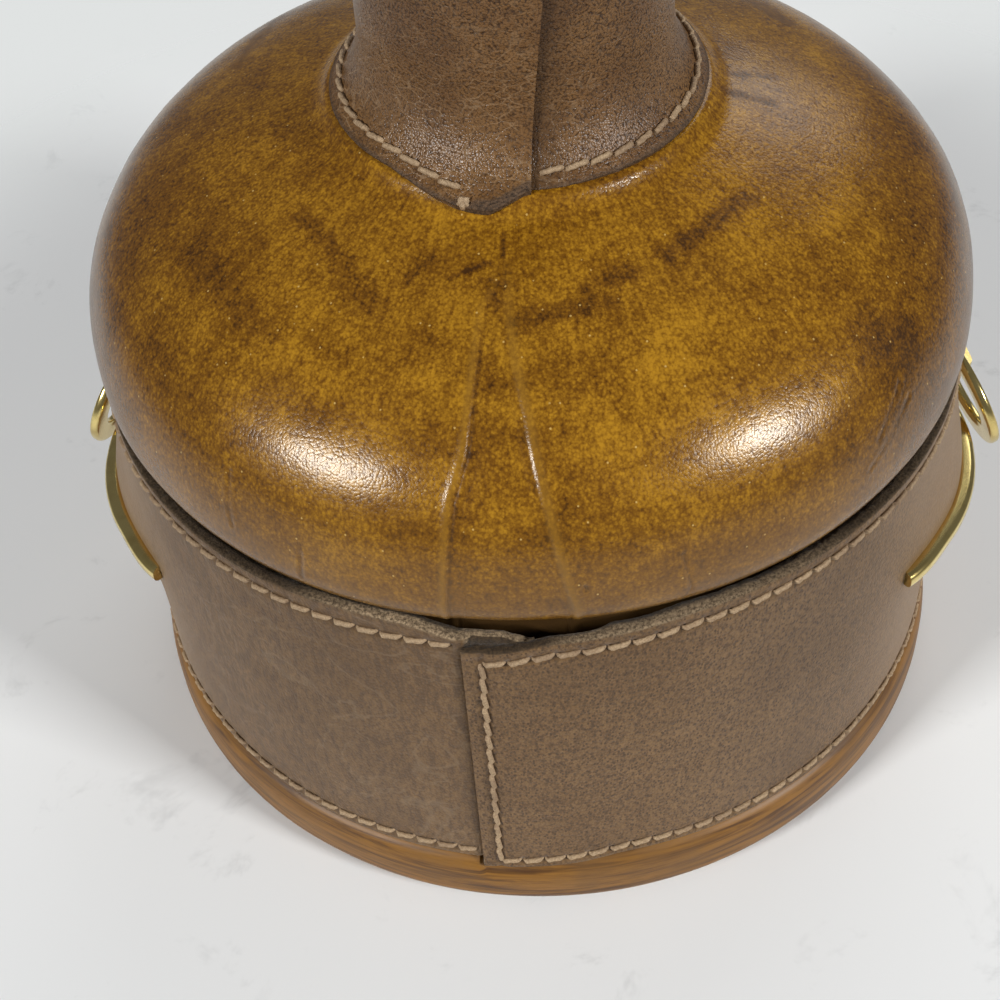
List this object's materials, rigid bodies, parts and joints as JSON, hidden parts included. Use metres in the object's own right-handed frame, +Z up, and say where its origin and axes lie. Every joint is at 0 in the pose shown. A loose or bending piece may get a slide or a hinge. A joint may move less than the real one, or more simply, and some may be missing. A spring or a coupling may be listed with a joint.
{
  "type": "leather-wrapped decanter",
  "caption": "Round-shouldered glass decanter in a moulded tan leather jacket with a stitched brown band, a stitched neck sleeve, brass side fittings and a lift-out stopper.",
  "frame": {"origin": "middle of the underside, on the bottle's axis", "axes": "+Z up along the bottle's axis; the band's back seam faces -Y; the brass fittings are at +X and -X"},
  "size_m": [0.1614, 0.1432, 0.2029],
  "materials": {
    "glass": "clear, hidden by the leather except at the lip",
    "tan_leather": "polished, wet-moulded, mottled",
    "brown_leather": "matt, fine pores",
    "thread": "waxed thread",
    "brass": "polished",
    "felt": "felt",
    "cork": "natural cork",
    "wood": "oiled"
  },
  "bodies": {
    "decanter": {"glass_bottle": "glass", "shoulder_cover": "tan_leather", "body_cover": "tan_leather", "base_pad": "felt", "body_band": "brown_leather", "band_top_thread": "thread", "band_bottom_thread": "thread", "band_seam_thread": "thread", "neck_sleeve": "brown_leather", "sleeve_bottom_thread": "thread", "sleeve_top_thread": "thread", "right_crescent": "brass", "right_ring_staple": "brass", "right_backing_plate": "brass", "left_crescent": "brass", "left_ring_staple": "brass", "left_backing_plate": "brass"},
    "stopper": {"stopper_cork": "cork", "stopper_core": "wood", "stopper_cover": "tan_leather", "stopper_trim": "brown_leather"},
    "right_ring": {"right_ring": "brass"},
    "left_ring": {"left_ring": "brass"}
  },
  "joints": [
    {"name": "stopper_lift", "type": "slide", "parent": "decanter", "child": "stopper", "axis": [0, 0, 1], "range_m": [0, 0.05]},
    {"name": "right_ring_swing", "type": "hinge", "parent": "decanter", "child": "right_ring", "pos_m": [0.07207, 0.01557, 0.0449], "axis": [-0.3158, -0.1131, 0.9421], "range_deg": [0, 110]},
    {"name": "left_ring_swing", "type": "hinge", "parent": "decanter", "child": "left_ring", "pos_m": [-0.07207, 0.01557, 0.0449], "axis": [-0.3158, 0.1131, -0.9421], "range_deg": [0, 110]}
  ]
}
